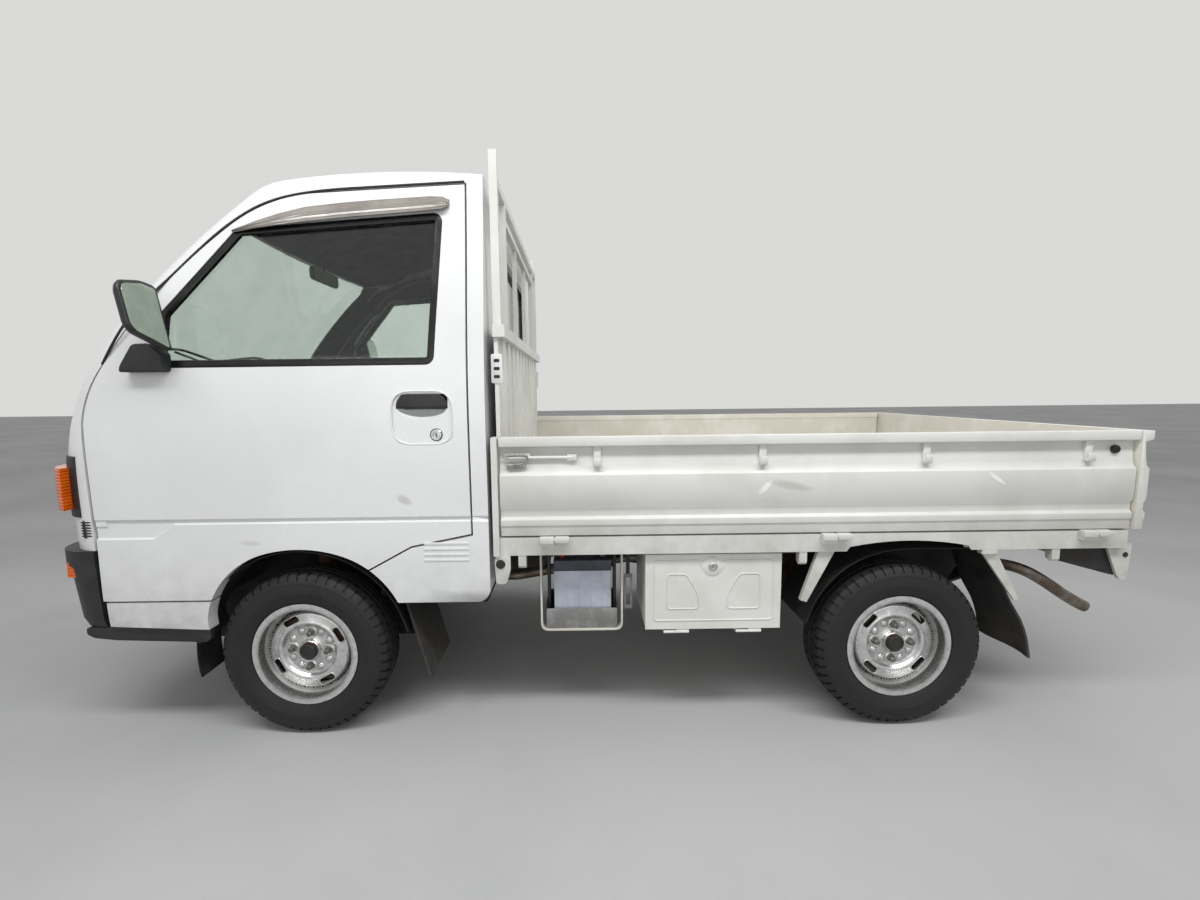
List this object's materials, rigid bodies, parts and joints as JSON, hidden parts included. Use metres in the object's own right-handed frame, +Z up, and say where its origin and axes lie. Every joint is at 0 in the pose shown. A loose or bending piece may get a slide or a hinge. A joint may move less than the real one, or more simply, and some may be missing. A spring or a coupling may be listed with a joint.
{
  "type": "kei truck",
  "caption": "Small cab-over pickup truck with a drop-side load bed, opening doors, steering and rolling wheels.",
  "frame": {"origin": "centre of the truck's bounding box, on the ground under the wheels", "axes": "+X towards the tailgate, +Y towards the truck's right side, +Z up"},
  "size_m": [3.3949, 1.778, 1.7999],
  "materials": {
    "white_paint": "gloss",
    "black_plastic": "satin",
    "rubber": "matte",
    "silver_paint": "satin",
    "chassis_black": "satin",
    "glass": "gloss",
    "smoked_acrylic": "gloss",
    "floor_vinyl": "matte",
    "clear_lens": "gloss",
    "orange_lens": "gloss",
    "red_lens": "gloss",
    "grey_plastic": "satin",
    "seat_vinyl": "satin",
    "cast_iron": "rough",
    "cast_aluminium": "satin",
    "exhaust_steel": "satin",
    "battery_case": "satin",
    "cream_paint": "satin"
  },
  "bodies": {
    "root": {"cab_roof": "white_paint", "cab_front_panel": "white_paint", "cab_back_panel": "white_paint", "cab_side_left": "white_paint", "cab_side_right": "white_paint", "cab_floor": "floor_vinyl", "windscreen": "glass", "rear_window": "glass", "front_bumper": "black_plastic", "headlamps": "clear_lens", "front_turn_lamps": "orange_lens", "dashboard": "grey_plastic", "steering_column": "grey_plastic", "seats": "seat_vinyl", "chassis_frame": "chassis_black", "front_suspension": "chassis_black", "rear_axle": "cast_iron", "rear_springs": "chassis_black", "engine": "cast_aluminium", "gearbox": "cast_aluminium", "propshaft": "chassis_black", "exhaust": "exhaust_steel", "fuel_tank": "chassis_black", "battery": "battery_case", "battery_tray": "cream_paint", "toolbox": "cream_paint", "bed_deck": "white_paint", "headboard": "white_paint", "guard_frame": "white_paint", "rear_beam": "white_paint", "rear_lamps": "red_lens", "mud_flaps": "rubber", "bed_stays": "white_paint"},
    "door_left": {"door_left": "white_paint", "door_glass_left": "glass", "door_mirror_left": "black_plastic", "rain_visor_left": "smoked_acrylic"},
    "side_gate_left": {"side_gate_left": "white_paint"},
    "door_right": {"door_right": "white_paint", "door_glass_right": "glass", "door_mirror_right": "black_plastic", "rain_visor_right": "smoked_acrylic"},
    "side_gate_right": {"side_gate_right": "white_paint"},
    "tailgate": {"tailgate": "white_paint"},
    "toolbox_lid": {"toolbox_lid": "cream_paint"},
    "steering_wheel": {"steering_wheel": "grey_plastic"},
    "knuckle_left": {"knuckle_left": "cast_iron"},
    "knuckle_right": {"knuckle_right": "cast_iron"},
    "wheel_front_left": {"rim_front_left": "silver_paint", "tyre_front_left": "rubber"},
    "wheel_front_right": {"rim_front_right": "silver_paint", "tyre_front_right": "rubber"},
    "wheel_rear_left": {"rim_rear_left": "silver_paint", "tyre_rear_left": "rubber"},
    "wheel_rear_right": {"rim_rear_right": "silver_paint", "tyre_rear_right": "rubber"}
  },
  "joints": [
    {"name": "door_left_swing", "type": "hinge", "parent": "root", "child": "door_left", "pos_m": [-1.49, -0.722, 0.8], "axis": [0, 0, -1], "range_deg": [0, 68]},
    {"name": "side_gate_left_fold", "type": "hinge", "parent": "root", "child": "side_gate_left", "pos_m": [0.68375, -0.7455, 0.643], "axis": [1, 0, 0], "range_deg": [0, 175]},
    {"name": "door_right_swing", "type": "hinge", "parent": "root", "child": "door_right", "pos_m": [-1.49, 0.722, 0.8], "axis": [0, 0, 1], "range_deg": [0, 68]},
    {"name": "side_gate_right_fold", "type": "hinge", "parent": "root", "child": "side_gate_right", "pos_m": [0.68375, 0.7455, 0.643], "axis": [-1, 0, 0], "range_deg": [0, 175]},
    {"name": "tailgate_fold", "type": "hinge", "parent": "root", "child": "tailgate", "pos_m": [1.6915, 0, 0.643], "axis": [0, 1, 0], "range_deg": [0, 175]},
    {"name": "toolbox_lid_fold", "type": "hinge", "parent": "root", "child": "toolbox_lid", "pos_m": [0.375, -0.703, 0.327], "axis": [1, 0, 0], "range_deg": [0, 90]},
    {"name": "steer_left", "type": "hinge", "parent": "root", "child": "knuckle_left", "pos_m": [-0.9235, -0.57, 0.172], "axis": [0, 0.1162, 0.9932], "range_deg": [-32, 32]},
    {"name": "wheel_front_left_spin", "type": "hinge", "parent": "knuckle_left", "child": "wheel_front_left", "pos_m": [-0.9235, -0.645, 0.267], "axis": [0, -1, 0], "continuous": true},
    {"name": "wheel_rear_left_spin", "type": "hinge", "parent": "root", "child": "wheel_rear_left", "pos_m": [0.9765, -0.645, 0.267], "axis": [0, -1, 0], "continuous": true},
    {"name": "steer_right", "type": "hinge", "parent": "root", "child": "knuckle_right", "pos_m": [-0.9235, 0.57, 0.172], "axis": [0, -0.1162, 0.9932], "range_deg": [-32, 32]},
    {"name": "wheel_front_right_spin", "type": "hinge", "parent": "knuckle_right", "child": "wheel_front_right", "pos_m": [-0.9235, 0.645, 0.267], "axis": [0, -1, 0], "continuous": true},
    {"name": "wheel_rear_right_spin", "type": "hinge", "parent": "root", "child": "wheel_rear_right", "pos_m": [0.9765, 0.645, 0.267], "axis": [0, -1, 0], "continuous": true},
    {"name": "steering_wheel_turn", "type": "hinge", "parent": "root", "child": "steering_wheel", "pos_m": [-1.165, 0.33, 1.135], "axis": [0.5593, 0, 0.829], "range_deg": [-480, 480]}
  ],
  "couplings": [
    {"joint": "steer_right", "follows": "steer_left", "ratio": 1},
    {"joint": "steering_wheel_turn", "follows": "steer_left", "ratio": 15}
  ]
}
